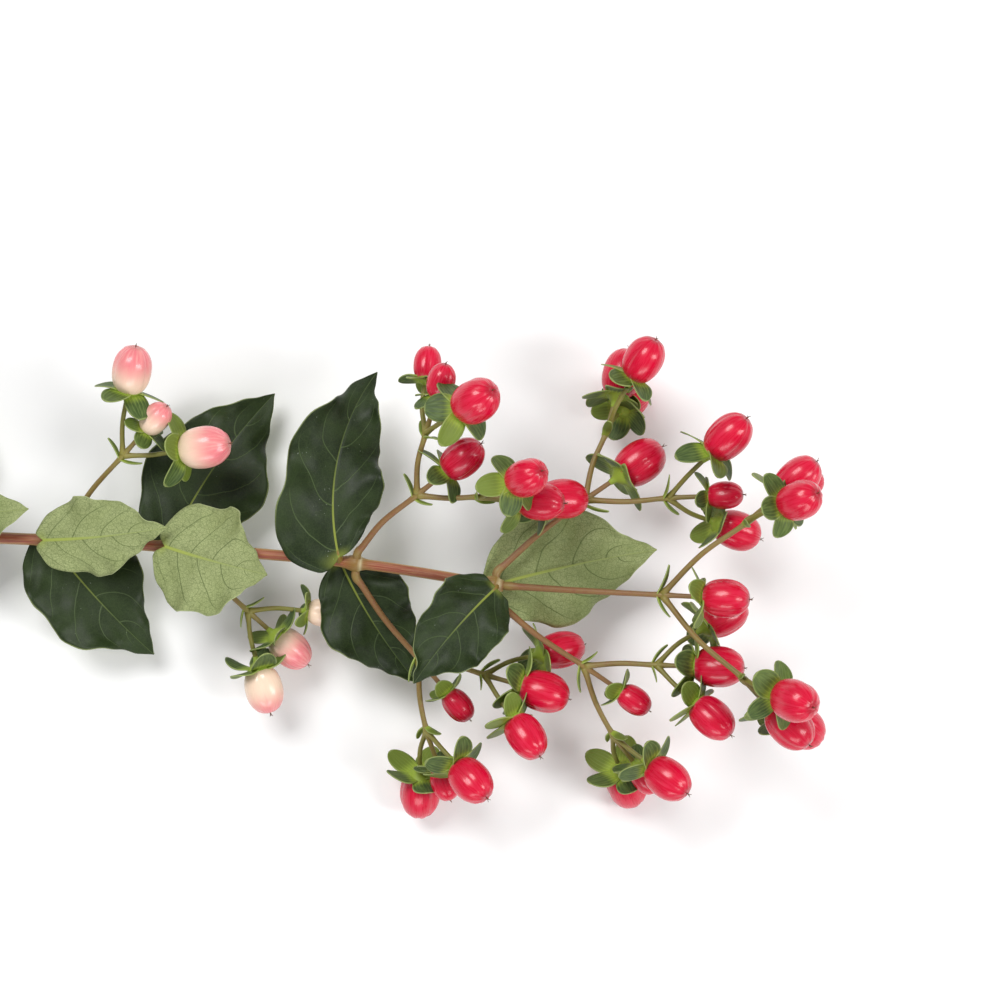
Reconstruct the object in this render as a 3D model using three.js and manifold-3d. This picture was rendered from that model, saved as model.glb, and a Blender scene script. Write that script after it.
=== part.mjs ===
// A cut stem of tutsan (Hypericum) with ripe red berries, lying on a table.
// Millimetres. +X runs along the stem from its cut end to the berries, +Z is up, z = 0 is the table.

import * as THREE from "three";
import { mergeVertices } from "three/addons/utils/BufferGeometryUtils.js";
import Module from "manifold-3d";

const wasm = await Module();
wasm.setup();

// ---------------------------------------------------------------- driving dimensions

const STEM_RADIUS = 1.6;          // of the woody stem at its cut end
const STEM_TOP_RADIUS = 1.1;      // at the upper fork
const NODE_RADIUS = 2.1;          // of the swelling under each pair of leaves
const NODE_HALF_LENGTH = 3.5;
const NODE_BAND = 0.6;            // half the length of its widest part
const NODE_SHORT_END = 0.7;       // its upper end, as a share of the lower one
const NODE_SUNK = 0.7;            // of the stem's radius, where the swelling's ends sink in
const NODE_SIDES = 6;
const STEM_SIDES = 8;
const STEM_STEPS = 14;

// The stem's centre line, from the cut end to the upper fork.
const STEM_ROUTE = [
  [0, 1, 0.85],
  [36, 3, 3.1],
  [78, 4.6, 5.8],
  [122, 5.2, 8.6],
  [165, 4.8, 11.6],
  [206, 3.4, 14.8],
  [235, 1.8, 17.2],
  [279, -2, 21],
  [313, -7.2, 24],
];
// Distance of each swelling from the cut end: two bare scars, four pairs of leaves, and the two forks.
const SCARS = [36, 78];
const LEAF_NODES = [122, 165, 206, 235];
const LOWER_FORK = 279;
const UPPER_FORK = 313;
const UPPER_SWELLING = UPPER_FORK - 1.4;

// The middle of the ground that the stem covers, seen from its cut end.
const MIDDLE = new THREE.Vector3(194.15, -6.24, -0.78);

const GAP = 0.35;                 // between two pieces that touch

const LEAF_THICKNESS = 0.7;
const LEAF_SEAT = 1.2;            // a blade's base lies this far before the middle of its node
const LEAF_ROWS = 12;             // along the midrib
const LEAF_COLUMNS = 4;           // across the blade
const LEAF_FLOOR = 1.1;           // a blade's middle surface comes no lower than this
const FLOOR_SOFTNESS = 1.5;
const OUTLINE_BASE = 0.4;         // the blade's width at its base, before it is scaled
const OUTLINE_GROWTH = 2.6;
const OUTLINE_TAPER = 1.08;
const OUTLINE_WIDEST = 0.826;     // of the unscaled outline
const TIP_ONSET = 0.5;            // share of the length from which the blade draws in to a narrower tip
const TIP_NARROWING = 0.36;
const MIDRIB_STEPS = 24;
const FOLD_CURVE = 1.2;           // a half blade curls up towards its margin
const MARGIN_SCALLOP = 0.07;      // how far a ripple widens and narrows the blade, as a share
const MARGIN_LAG = 1.9;           // between the ripples of the left and right margin, radians
const CALM_BASE = 0.25;           // share of the length over which the ripple sets in
const CALM_TIP = 0.2;             // and over which it dies away before the tip
const FOLD_ONSET = 0.3;           // share of the length over which the fold sets in
const ROLL_ONSET = 0.5;
const LOBE_FADE = 4;              // power by which the base's lobes end
const HEEL_DROP = 5;              // how far a full heel reaches back past the lobe
const TIP_NORMAL = 0.96;          // the blade's direction here serves up to its tip

// Large leaves. node: distance from the cut end. side: 1 sits on the stem, -1 hangs under it.
// across: the base's offset to the left.
// heading and pitch: the way the blade sets off, in plan and upwards, degrees.
// sweep and droop: how far it turns to the left and down by its tip. roll: its tilt about the midrib.
// fold: the rise of its half blades. wave, waves, phase: the ripple of its margins.
// lobe: how far its base reaches back. heel: how much wider its left half is at the base, as a share.
const LEAVES = [
  { name: "leaf_1_left", node: 122, side: 1, across: 1, heading: 80, pitch: 6, sweep: -44, droop: 28,
    roll: 6, length: 46, width: 27, fold: 10, wave: 2.4, waves: 2.4, phase: 0.4, lobe: -1.5 },
  { name: "leaf_1_right", node: 122, side: 1, across: -1, heading: -76, pitch: 4, sweep: 40, droop: 26,
    roll: -8, length: 43, width: 25, fold: 8, wave: 2.2, waves: 2.1, phase: 2.2, lobe: -1.5 },
  { name: "leaf_2_top", node: 165, side: 1, across: 0, heading: 14, pitch: 22, sweep: -10, droop: 20,
    roll: 8, length: 40, width: 25, fold: -9, wave: 1.8, waves: 2.3, phase: 1.2, lobe: 2.2 },
  { name: "leaf_2_under", node: 165, side: -1, across: 0, heading: 52, pitch: -6, sweep: 18, droop: -4,
    roll: 5, length: 44, width: 26, fold: 8, wave: 2.2, waves: 2.6, phase: 3.1, lobe: 2.2 },
  { name: "leaf_3_top", node: 206, side: 1, across: 0, heading: 2, pitch: 25, sweep: 8, droop: 28,
    roll: 14, length: 31, width: 19, fold: -10, wave: 1.3, waves: 2.2, phase: 0.2, lobe: 2 },
  { name: "leaf_3_under", node: 206, side: -1, across: 0, heading: -54, pitch: -6, sweep: 12, droop: 2,
    roll: -6, length: 38, width: 26, fold: 9, wave: 2.2, waves: 2.2, phase: 4.4, lobe: 2.2 },
  { name: "leaf_4_top", node: 235, side: 1, across: 0, heading: -18, pitch: 20, sweep: 6, droop: 20,
    roll: -8, length: 26, width: 27, fold: -8, wave: 1.6, waves: 2.4, phase: 2.6, lobe: 2.4 },
  { name: "leaf_4_under", node: 235, side: -1, across: 0, heading: 66, pitch: -14, sweep: -20, droop: -6,
    roll: 6, length: 46, width: 28, fold: 8, wave: 2.3, waves: 2.5, phase: 5.2, lobe: 1.4 },
  { name: "leaf_5_left", node: 276, side: 1, across: 1, heading: 103, pitch: 2, sweep: -50, droop: 32,
    roll: 12, length: 49, width: 22, fold: 8, wave: 3.2, waves: 2.5, phase: 1.8, lobe: -2, heel: 0.9 },
  { name: "leaf_5_right", node: 276, side: -1, across: 0, heading: -66, pitch: -6, sweep: 16, droop: 4,
    roll: -4, length: 35, width: 22, fold: 8, wave: 2.6, waves: 2.2, phase: 0.6, lobe: -1.5 },
  { name: "leaf_6_top", node: UPPER_FORK, side: 1, across: -0.6, heading: -138, pitch: 28, sweep: 14,
    droop: 28, roll: -12, length: 31, width: 20, fold: 14, wave: 2.0, waves: 2.0, phase: 2.9, lobe: 0 },
  { name: "leaf_6_under", node: UPPER_FORK, side: -1, across: 0, heading: 16, pitch: -10, sweep: -8,
    droop: -6, roll: 10, length: 40, width: 27, fold: -8, wave: 2.2, waves: 2.4, phase: 0.9, lobe: 2 },
];

// A range of sizes, lengths or angles below holds the shares of the full one that each is drawn between.
const BERRY_SIDES = 10;
// A berry's profile: distance from its calyx and radius, at full size.
const BERRY_PROFILE = [
  [0, 2.1],
  [1, 2.6],
  [3.2, 4.4],
  [7.7, 4.6],
  [11.2, 2.7],
];
const BERRY_LENGTH = 12.3;
const SMALL_SHARE = 0.07;         // of berries that stayed small
const SMALL_SIZE = 0.7;
const BERRY_SIZES = [0.9, 1.04];
const CALYX_DEPTH = 2.2;
const CALYX_SEAT = 0.6;           // from the end of the stalk to the berry
const SEPALS = 5;
const SEPAL_LENGTH = 7.2;
const SEPAL_WIDTH = 6;
const SEPAL_THICKNESS = 0.65;
const SEPAL_ROOT = [0.5, 2.2];    // its distance ahead of the calyx and out from the berry's axis
const SEPAL_WIDEST = 0.52;        // where, as a share of its length
const SEPAL_END = 0.62;           // its width there, as a share of the widest
const SEPAL_DROP = 0.12;          // of its end, as a share of its length
const SEPAL_SPREAD = [84, 122];   // angle from the berry's axis, degrees
const SEPAL_SIZES = [0.82, 1.08];
const BRACT_LENGTH = 5.6;
const BRACT_WIDTH = 2.4;
const BRACT_THICKNESS = 0.6;
const STALK_RADII = [0.6, 0.7, 0.85, 1];   // by the number of forks still to come
const STALK_SIDES = 5;
const BRACT_WIDEST = 0.45;        // where, as a share of its length
const BRACT_ANGLE = 63;           // from its stalk, degrees
const BRACT_SETBACK = 1.4;
const BRACT_SIZES = [0.8, 1.2];
const FORK_ANGLE = 45;            // between a stalk and its branches, degrees
const FORK_ANGLES = [0.88, 1.12];
const FORK_SPREAD = 0.3;          // of a stalk's radius, between the roots of its two branches
const FIRST_BEND = 0.9;           // how far a first stalk turns to its spray's heading
const LATER_BEND = 0.3;
const LAST_SWERVE = 9;            // of the berry straight ahead, degrees
const FORK_SHORTENING = 0.66;
const FORK_TWIST = [10, 50];      // of a fork's plane, past square to the fork before it
const BRANCH_LENGTHS = [0.9, 1.1];
const PEDICEL_LENGTH = 8.5;       // from the last fork to the berry straight ahead
const PEDICEL_LENGTHS = [0.9, 1.15];
const LAST_STALK_LENGTH = 13;     // of a side berry's own stalk
const LAST_STALK_LENGTHS = [0.85, 1.15];
const STEM_END_CLEARANCE = 1.05;  // past the upper fork, to the end of its swelling
const STALK_END_ROOM = 0.6;       // of a stalk's radius, between its foot and the end of the stem
const STALK_FOOT_ROOM = 0.3;      // of a stalk's radius, between its foot and the stem's side

// Sprays. node: distance from the cut end. heading, pitch: the way the stalk sets off, degrees.
// towards: the heading and pitch that it bends to. plane: tilt of its first fork, degrees.
// forks: how often it divides. bract: size of the two small leaves at its first fork.
const SPRAYS = [
  { name: "spray_1", node: LOWER_FORK, heading: 50, pitch: 34, towards: [26, 12], plane: 0, length: 23,
    forks: 2, bract: 1, seed: 14 },
  { name: "spray_2", node: LOWER_FORK, heading: -56, pitch: -4, towards: [-42, 3], plane: 8, length: 25,
    forks: 2, bract: 1, seed: 42 },
  { name: "spray_3", node: UPPER_SWELLING, heading: 42, pitch: -1, towards: [30, -3], plane: -20, length: 27,
    forks: 2, bract: 1.1, seed: 5 },
  { name: "spray_4", node: UPPER_SWELLING, heading: -40, pitch: 0, towards: [-26, -3], plane: 20, length: 27,
    forks: 2, bract: 1.1, seed: 42 },
  { name: "spray_5", node: UPPER_FORK, heading: -3, pitch: 22, towards: [-2, 14], plane: 0, length: 38,
    forks: 2, bract: 1.2, seed: 49, atTip: true },
  { name: "side_shoot_1", node: 238, heading: -40, pitch: -8, towards: [-46, -8], plane: 0, length: 20,
    forks: 1, bract: 1, seed: 14 },
  { name: "side_shoot_2", node: 209, heading: 56, pitch: 6, towards: [34, 30], plane: 0, length: 24,
    forks: 1, bract: 1, seed: 54 },
];

// ---------------------------------------------------------------- materials

const finish = (color, roughness) => new THREE.MeshStandardMaterial({ color, roughness, metalness: 0 });
const STEM_FINISH = finish(0x9a5a4e, 0.6);
const LEAF_FINISH = finish(0x3c5638, 0.55);
const BERRY_FINISH = finish(0xc2203c, 0.35);
const UNRIPE_FINISH = finish(0xe8b9a4, 0.4);

// ---------------------------------------------------------------- vectors and random draws

const UP = new THREE.Vector3(0, 0, 1);
const radians = THREE.MathUtils.degToRad;
const lerp = THREE.MathUtils.lerp;
const vec = (x, y, z) => new THREE.Vector3(x, y, z);
const add = (p, q, scale = 1) => p.clone().addScaledVector(q, scale);

function towards(heading, pitch) {
  const h = radians(heading);
  const p = radians(pitch);
  return vec(Math.cos(h) * Math.cos(p), Math.sin(h) * Math.cos(p), Math.sin(p));
}

// A unit vector square to the axis, as near as possible to the given one.
function squareTo(axis, wanted) {
  return add(wanted, axis, -wanted.dot(axis)).normalize();
}

function turned(vector, axis, degrees) {
  return vector.clone().applyAxisAngle(axis, radians(degrees));
}

// Draws numbers from 0 to 1, the same ones for the same seed.
function drawsFrom(seed) {
  let state = Math.imul(seed, 2654435761) >>> 0;
  const draw = () => {
    state = (Math.imul(state, 1664525) + 1013904223) >>> 0;
    return state / 4294967296;
  };
  draw();
  return (low, high) => low + (high - low) * draw();
}

// ---------------------------------------------------------------- solids

function geometryOf(points, triangles) {
  const geometry = new THREE.BufferGeometry();
  const coordinates = points.flatMap((p) => [p.x, p.y, p.z]);
  geometry.setAttribute("position", new THREE.Float32BufferAttribute(coordinates, 3));
  geometry.setIndex(triangles.flat());
  return geometry;
}

function solidOf(geometry) {
  const bare = geometry.clone();
  bare.deleteAttribute("normal");
  bare.deleteAttribute("uv");
  const merged = mergeVertices(bare, 1e-4);
  const vertProperties = new Float32Array(merged.attributes.position.array);
  const triVerts = new Uint32Array(merged.index.array);
  return new wasm.Manifold(new wasm.Mesh({ numProp: 3, vertProperties, triVerts }));
}

function joined(geometries) {
  const whole = geometries.map(solidOf).reduce((body, piece) => body.add(piece));
  const mesh = whole.getMesh();
  const geometry = new THREE.BufferGeometry();
  geometry.setAttribute("position", new THREE.Float32BufferAttribute(mesh.vertProperties, 3));
  geometry.setIndex([...mesh.triVerts]);
  return geometry;
}

function named(name, geometry, material) {
  geometry.computeVertexNormals();
  const mesh = new THREE.Mesh(geometry, material);
  mesh.name = name;
  return mesh;
}

// A round rod along a curve, thinning from its first radius to its last.
function taperedRod(curve, firstRadius, lastRadius, steps, sides = STALK_SIDES) {
  const geometry = rod(curve, firstRadius, sides, steps);
  const centres = curve.getSpacedPoints(steps);
  const position = geometry.attributes.position;
  for (let i = 0; i < position.count; i += 1) {
    const point = vec(position.getX(i), position.getY(i), position.getZ(i));
    const gaps = centres.map((centre) => centre.distanceTo(point));
    const nearest = gaps.indexOf(Math.min(...gaps));
    const radius = lerp(firstRadius, lastRadius, nearest / steps);
    point.sub(centres[nearest]).multiplyScalar(radius / firstRadius).add(centres[nearest]);
    position.setXYZ(i, point.x, point.y, point.z);
  }
  return geometry;
}

function rod(curve, radius, sides, steps) {
  const section = new THREE.Shape(
    Array.from({ length: sides }, (_, i) => {
      const angle = (2 * Math.PI * i) / sides;
      return new THREE.Vector2(radius * Math.cos(angle), radius * Math.sin(angle));
    }),
  );
  return new THREE.ExtrudeGeometry(section, { steps, extrudePath: curve, bevelEnabled: false });
}

// ---------------------------------------------------------------- main stem

const stemCurve = new THREE.CatmullRomCurve3(STEM_ROUTE.map((p) => vec(...p)), false, "centripetal");

// The stem's centre and direction at a distance x from the cut end.
function stemAt(x) {
  let low = 0;
  let high = 1;
  for (let i = 0; i < 40; i += 1) {
    const middle = (low + high) / 2;
    if (stemCurve.getPoint(middle).x < x) {
      low = middle;
    } else {
      high = middle;
    }
  }
  return { centre: stemCurve.getPoint(low), along: stemCurve.getTangent(low) };
}

function stemRadius(x) {
  return lerp(STEM_RADIUS, STEM_TOP_RADIUS, x / UPPER_FORK);
}

// The swelling of a node, a turned bead on the stem.
function nodeGeometry(x) {
  const inner = stemRadius(x) * NODE_SUNK;
  const upperEnd = NODE_HALF_LENGTH * NODE_SHORT_END;
  const profile = [
    new THREE.Vector2(0, -NODE_HALF_LENGTH),
    new THREE.Vector2(inner, -NODE_HALF_LENGTH),
    new THREE.Vector2(NODE_RADIUS, -NODE_BAND),
    new THREE.Vector2(NODE_RADIUS, NODE_BAND),
    new THREE.Vector2(inner, upperEnd),
    new THREE.Vector2(0, upperEnd),
  ];
  const { centre, along } = stemAt(x);
  const bead = new THREE.LatheGeometry(profile, NODE_SIDES);
  const turn = new THREE.Quaternion().setFromUnitVectors(vec(0, 1, 0), along);
  return bead.applyQuaternion(turn).translate(centre.x, centre.y, centre.z);
}

function mainStem() {
  const wood = taperedRod(stemCurve, STEM_RADIUS, STEM_TOP_RADIUS, STEM_STEPS, STEM_SIDES);
  const beads = [...SCARS, ...LEAF_NODES, LOWER_FORK, UPPER_SWELLING].map(nodeGeometry);
  return named("main_stem", joined([wood, ...beads]), STEM_FINISH);
}

// ---------------------------------------------------------------- large leaves

function smooth(t) {
  const x = THREE.MathUtils.clamp(t, 0, 1);
  return x * x * (3 - 2 * x);
}

function outline(s) {
  const oval = ((OUTLINE_BASE + OUTLINE_GROWTH * s) * (1 - s) ** OUTLINE_TAPER) / OUTLINE_WIDEST;
  return oval * (1 - TIP_NARROWING * smooth((s - TIP_ONSET) / (1 - TIP_ONSET)));
}

// A height that levels out at the floor instead of passing through it.
function onTable(z) {
  const over = z - LEAF_FLOOR;
  return LEAF_FLOOR + (over + Math.sqrt(over * over + FLOOR_SOFTNESS ** 2)) / 2;
}

// The midrib's point at s, summed from short straight steps, with the blade's three directions there.
function midribAt(leaf, s) {
  const { centre } = stemAt(leaf.node - LEAF_SEAT);
  const lift = leaf.side * (NODE_RADIUS + GAP + LEAF_THICKNESS / 2);
  const point = add(centre, vec(0, leaf.across, lift));
  for (let i = 0; i < MIDRIB_STEPS; i += 1) {
    const t = (s * (i + 0.5)) / MIDRIB_STEPS;
    const ahead = towards(leaf.heading + leaf.sweep * t, leaf.pitch - leaf.droop * t);
    point.addScaledVector(ahead, (s * leaf.length) / MIDRIB_STEPS);
  }
  const along = towards(leaf.heading + leaf.sweep * s, leaf.pitch - leaf.droop * s);
  const level = UP.clone().cross(along).normalize();
  const upright = along.clone().cross(level);
  const roll = leaf.roll * smooth(s / ROLL_ONSET);
  return { point, along, left: turned(level, along, roll), over: turned(upright, along, roll) };
}

// The blade's middle surface: s runs along the midrib, u from the right margin (-1) to the left (1).
function bladePoint(leaf, s, u) {
  const { point, along, left, over } = midribAt(leaf, s);
  const calm = smooth(s / CALM_BASE) * smooth((1 - s) / CALM_TIP);
  const phase = 2 * Math.PI * leaf.waves * s + leaf.phase + (u > 0 ? MARGIN_LAG : 0);
  const lobeFade = (1 - s) ** LOBE_FADE;
  const heel = u > 0 ? (leaf.heel ?? 0) : 0;
  const scallop = 1 + MARGIN_SCALLOP * calm * Math.cos(phase);
  const reach = (leaf.width / 2) * outline(s) * (1 + heel * lobeFade) * scallop;
  const folded = Math.tan(radians(leaf.fold)) * smooth(s / FOLD_ONSET);
  const rise = reach * Math.abs(u) ** FOLD_CURVE * folded;
  const ripple = leaf.wave * u * u * calm * Math.sin(phase);
  const back = (leaf.lobe + heel * HEEL_DROP) * u * u * lobeFade;
  const on = add(add(add(point, left, reach * u), over, rise + ripple), along, -back);
  on.z = onTable(on.z);
  return on;
}

// The normal of the middle surface; the tip, where both margins meet, takes the one just before it.
function bladeNormal(leaf, s, u) {
  const at = Math.min(s, TIP_NORMAL);
  const step = 0.01;
  const lengthways = bladePoint(leaf, at + step, u).sub(bladePoint(leaf, at - step, u));
  const across = bladePoint(leaf, at, u + step).sub(bladePoint(leaf, at, u - step));
  return lengthways.cross(across).normalize();
}

// A thin solid: the same triangles above and below the middle surface, and a rim round them.
function leafMesh(leaf) {
  const points = [];
  const triangles = [];
  const wide = LEAF_COLUMNS + 1;
  const pointAt = (row, column, face) => (row * wide + column) * 2 + face;
  const addPoint = (s, u) => {
    const middle = bladePoint(leaf, s, u);
    const normal = bladeNormal(leaf, s, u);
    points.push(add(middle, normal, LEAF_THICKNESS / 2), add(middle, normal, -LEAF_THICKNESS / 2));
  };
  for (let row = 0; row < LEAF_ROWS; row += 1) {
    for (let column = 0; column < wide; column += 1) {
      addPoint(row / LEAF_ROWS, (2 * column) / LEAF_COLUMNS - 1);
    }
  }
  addPoint(1, 0);
  const tip = LEAF_ROWS * wide * 2;
  const last = LEAF_ROWS - 1;
  const tile = (a, b, c) => {
    triangles.push([a, b, c], [a + 1, c + 1, b + 1]);
  };
  for (let row = 0; row < last; row += 1) {
    for (let column = 0; column < LEAF_COLUMNS; column += 1) {
      tile(pointAt(row, column, 0), pointAt(row + 1, column, 0), pointAt(row + 1, column + 1, 0));
      tile(pointAt(row, column, 0), pointAt(row + 1, column + 1, 0), pointAt(row, column + 1, 0));
    }
  }
  for (let column = 0; column < LEAF_COLUMNS; column += 1) {
    tile(pointAt(last, column, 0), tip, pointAt(last, column + 1, 0));
  }
  const edge = [];
  for (let column = 0; column < LEAF_COLUMNS; column += 1) {
    edge.push(pointAt(0, column, 0));
  }
  for (let row = 0; row < LEAF_ROWS; row += 1) {
    edge.push(pointAt(row, LEAF_COLUMNS, 0));
  }
  edge.push(tip);
  for (let row = last; row > 0; row -= 1) {
    edge.push(pointAt(row, 0, 0));
  }
  edge.forEach((a, i) => {
    const b = edge[(i + 1) % edge.length];
    triangles.push([a, b, a + 1], [b, b + 1, a + 1]);
  });
  return named(leaf.name, geometryOf(points, triangles), LEAF_FINISH);
}

// ---------------------------------------------------------------- sprays of berries

// One berry with its calyx and five spreading sepals, each grown from every second facet of the calyx.
function berryGeometry(base, axis, side, size, draw) {
  const cross = axis.clone().cross(side);
  const radial = (angle) => add(side.clone().multiplyScalar(Math.cos(angle)), cross, Math.sin(angle));
  const points = [add(base, axis, -CALYX_DEPTH * size)];
  const triangles = [];
  const ring = (row, i) => 1 + row * BERRY_SIDES + (i % BERRY_SIDES);
  const angleOf = (i) => (2 * Math.PI * i) / BERRY_SIDES;
  BERRY_PROFILE.forEach(([distance, radius]) => {
    for (let i = 0; i < BERRY_SIDES; i += 1) {
      points.push(add(add(base, axis, distance * size), radial(angleOf(i)), radius * size));
    }
  });
  const tip = points.push(add(base, axis, BERRY_LENGTH * size)) - 1;
  const quad = (a, b, c, d) => triangles.push([a, b, c], [a, c, d]);
  const lastRow = BERRY_PROFILE.length - 1;
  for (let i = 0; i < BERRY_SIDES; i += 1) {
    triangles.push([0, ring(0, i + 1), ring(0, i)], [ring(lastRow, i), ring(lastRow, i + 1), tip]);
    for (let row = 1; row < lastRow; row += 1) {
      quad(ring(row, i), ring(row, i + 1), ring(row + 1, i + 1), ring(row + 1, i));
    }
    if (i % 2 === 0) {
      quad(ring(0, i), ring(0, i + 1), ring(1, i + 1), ring(1, i));
    }
  }
  for (let sepal = 0; sepal < SEPALS; sepal += 1) {
    const i = 2 * sepal + 1;
    const outwards = radial(angleOf(i + 0.5));
    const sideways = axis.clone().cross(outwards);
    const spread = radians(draw(...SEPAL_SPREAD));
    const ahead = add(axis.clone().multiplyScalar(Math.cos(spread)), outwards, Math.sin(spread));
    const face = ahead.clone().cross(sideways);
    const length = SEPAL_LENGTH * size * draw(...SEPAL_SIZES);
    const root = add(add(base, axis, SEPAL_ROOT[0] * size), outwards, SEPAL_ROOT[1] * size);
    const half = (SEPAL_WIDTH * size) / 2;
    const middle = add(root, ahead, length * SEPAL_WIDEST);
    const end = add(add(root, ahead, length), face, -length * SEPAL_DROP);
    const corner = (across, over) => points.push(add(add(middle, sideways, across * half), face, over)) - 1;
    const lowRight = corner(-1, -SEPAL_THICKNESS / 2);
    const lowLeft = corner(1, -SEPAL_THICKNESS / 2);
    const highLeft = corner(1, SEPAL_THICKNESS / 2);
    const highRight = corner(-1, SEPAL_THICKNESS / 2);
    const endRight = points.push(add(end, sideways, -half * SEPAL_END)) - 1;
    const endLeft = points.push(add(end, sideways, half * SEPAL_END)) - 1;
    quad(ring(0, i), ring(0, i + 1), lowLeft, lowRight);
    quad(ring(0, i + 1), ring(1, i + 1), highLeft, lowLeft);
    quad(ring(1, i + 1), ring(1, i), highRight, highLeft);
    quad(ring(1, i), ring(0, i), lowRight, highRight);
    quad(lowRight, lowLeft, endLeft, endRight);
    quad(highLeft, highRight, endRight, endLeft);
    triangles.push([lowLeft, highLeft, endLeft], [highRight, lowRight, endRight]);
  }
  return geometryOf(points, triangles);
}

// A small pointed bract, its root sunk in the fork.
function bractGeometry(root, ahead, sideways, size) {
  const face = ahead.clone().cross(sideways);
  const points = [];
  const addRow = (distance, half) => {
    const at = add(root, ahead, distance);
    for (const [across, over] of [[-1, -1], [1, -1], [1, 1], [-1, 1]]) {
      points.push(add(add(at, sideways, across * half), face, (over * BRACT_THICKNESS) / 2));
    }
  };
  addRow(0, (BRACT_WIDTH * size) / 4);
  addRow(BRACT_LENGTH * size * BRACT_WIDEST, (BRACT_WIDTH * size) / 2);
  points.push(add(root, ahead, BRACT_LENGTH * size));
  const triangles = [[0, 2, 1], [0, 3, 2]];
  for (let i = 0; i < 4; i += 1) {
    const next = (i + 1) % 4;
    triangles.push([i, next, 4 + next], [i, 4 + next, 4 + i], [4 + i, 4 + next, 8]);
  }
  return geometryOf(points, triangles);
}

// A stalk bends from its first direction to its second, passes its fork and ends at its own berry.
function grow(pieces, spray, start, ahead, side, length, forks, draw) {
  const pull = forks === spray.forks ? FIRST_BEND : LATER_BEND;
  const bent = add(ahead, towards(...spray.towards), pull).normalize();
  const across = squareTo(bent, side);
  const middle = add(start, ahead, length / 2);
  const fork = add(middle, bent, length / 2);
  if (forks === 0) {
    pieces.push(rod(new THREE.CatmullRomCurve3([start, middle, fork]), STALK_RADII[0], STALK_SIDES, 2));
    addBerry(pieces, fork, bent, across, draw);
    return;
  }
  const last = turned(bent, across, draw(-LAST_SWERVE, LAST_SWERVE));
  const end = add(fork, last, PEDICEL_LENGTH * draw(...PEDICEL_LENGTHS));
  const route = new THREE.CatmullRomCurve3([start, middle, fork, end]);
  pieces.push(taperedRod(route, STALK_RADII[forks], STALK_RADII[0], 2 * forks + 2));
  addBerry(pieces, end, last, across, draw);
  const upright = bent.clone().cross(across);
  for (const hand of [-1, 1]) {
    const bractWay = turned(bent, upright, hand * BRACT_ANGLE);
    const bractSize = draw(...BRACT_SIZES) * (forks === spray.forks ? spray.bract : 1);
    pieces.push(bractGeometry(add(fork, bent, -BRACT_SETBACK), bractWay, upright, bractSize));
    const branch = turned(bent, upright, hand * FORK_ANGLE * draw(...FORK_ANGLES));
    const plane = turned(upright, branch, hand * draw(...FORK_TWIST));
    const reach = forks === 1
      ? LAST_STALK_LENGTH * draw(...LAST_STALK_LENGTHS)
      : length * FORK_SHORTENING * draw(...BRANCH_LENGTHS);
    const root = add(fork, across, hand * STALK_RADII[forks] * FORK_SPREAD);
    grow(pieces, spray, root, branch, plane, reach, forks - 1, draw);
  }
}

function addBerry(pieces, end, axis, side, draw) {
  const small = draw(0, 1) < SMALL_SHARE;
  const size = small ? SMALL_SIZE : draw(...BERRY_SIZES);
  const turn = draw(0, 360 / SEPALS);
  pieces.push(berryGeometry(add(end, axis, CALYX_SEAT), axis, turned(side, axis, turn), size, draw));
}

// A spray leaves the stem just clear of its bark, from its end or from the side that the stalk sets off to.
function sprayStart(spray, ahead) {
  const { centre, along } = stemAt(spray.node);
  const radius = STALK_RADII[spray.forks];
  if (spray.atTip) {
    return add(centre, ahead, STEM_END_CLEARANCE + GAP + radius * STALK_END_ROOM);
  }
  const bark = spray.name.startsWith("side") ? stemRadius(spray.node) : NODE_RADIUS;
  const slant = ahead.angleTo(along);
  const foot = radius * (Math.cos(slant) + STALK_FOOT_ROOM * Math.sin(slant));
  return add(centre, squareTo(along, ahead), bark + GAP + foot);
}

function sprayMesh(spray) {
  const ahead = towards(spray.heading, spray.pitch);
  const plane = turned(squareTo(ahead, UP.clone().cross(ahead)), ahead, spray.plane);
  const pieces = [];
  const start = sprayStart(spray, ahead);
  grow(pieces, spray, start, ahead, plane, spray.length, spray.forks, drawsFrom(spray.seed));
  return named(spray.name, joined(pieces), spray.name.startsWith("side") ? UNRIPE_FINISH : BERRY_FINISH);
}

// ---------------------------------------------------------------- the whole stem

// The origin is under the middle of the whole stem.
const berryStem = new THREE.Group();
berryStem.position.copy(MIDDLE).negate();
berryStem.add(mainStem());
LEAVES.forEach((leaf) => berryStem.add(leafMesh(leaf)));
SPRAYS.forEach((spray) => berryStem.add(sprayMesh(spray)));

export default berryStem;
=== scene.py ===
"""Looks of a cut hypericum (tutsan) stem with ripe berries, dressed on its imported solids.

The layout is in millimetres, with x along the stem from its cut end; MIDDLE carries it into the frame.
The routes, leaves and sprays repeat the part's own rules, so every fine piece lies on its solid.
"""

import math

import bpy
import numpy as np
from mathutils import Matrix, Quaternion, Vector


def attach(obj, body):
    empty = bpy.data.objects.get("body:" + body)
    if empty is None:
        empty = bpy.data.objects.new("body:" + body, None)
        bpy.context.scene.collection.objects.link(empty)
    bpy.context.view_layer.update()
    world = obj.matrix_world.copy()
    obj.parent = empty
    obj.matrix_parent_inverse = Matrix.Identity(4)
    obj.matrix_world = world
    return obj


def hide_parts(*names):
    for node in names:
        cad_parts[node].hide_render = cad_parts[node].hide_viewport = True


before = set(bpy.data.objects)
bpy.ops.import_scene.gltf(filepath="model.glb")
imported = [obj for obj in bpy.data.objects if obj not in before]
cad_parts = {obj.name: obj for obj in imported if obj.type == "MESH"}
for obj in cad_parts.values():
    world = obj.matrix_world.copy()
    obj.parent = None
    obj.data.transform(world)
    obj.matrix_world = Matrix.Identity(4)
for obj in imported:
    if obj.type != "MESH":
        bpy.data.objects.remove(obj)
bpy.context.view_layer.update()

MM = 0.001
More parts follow.
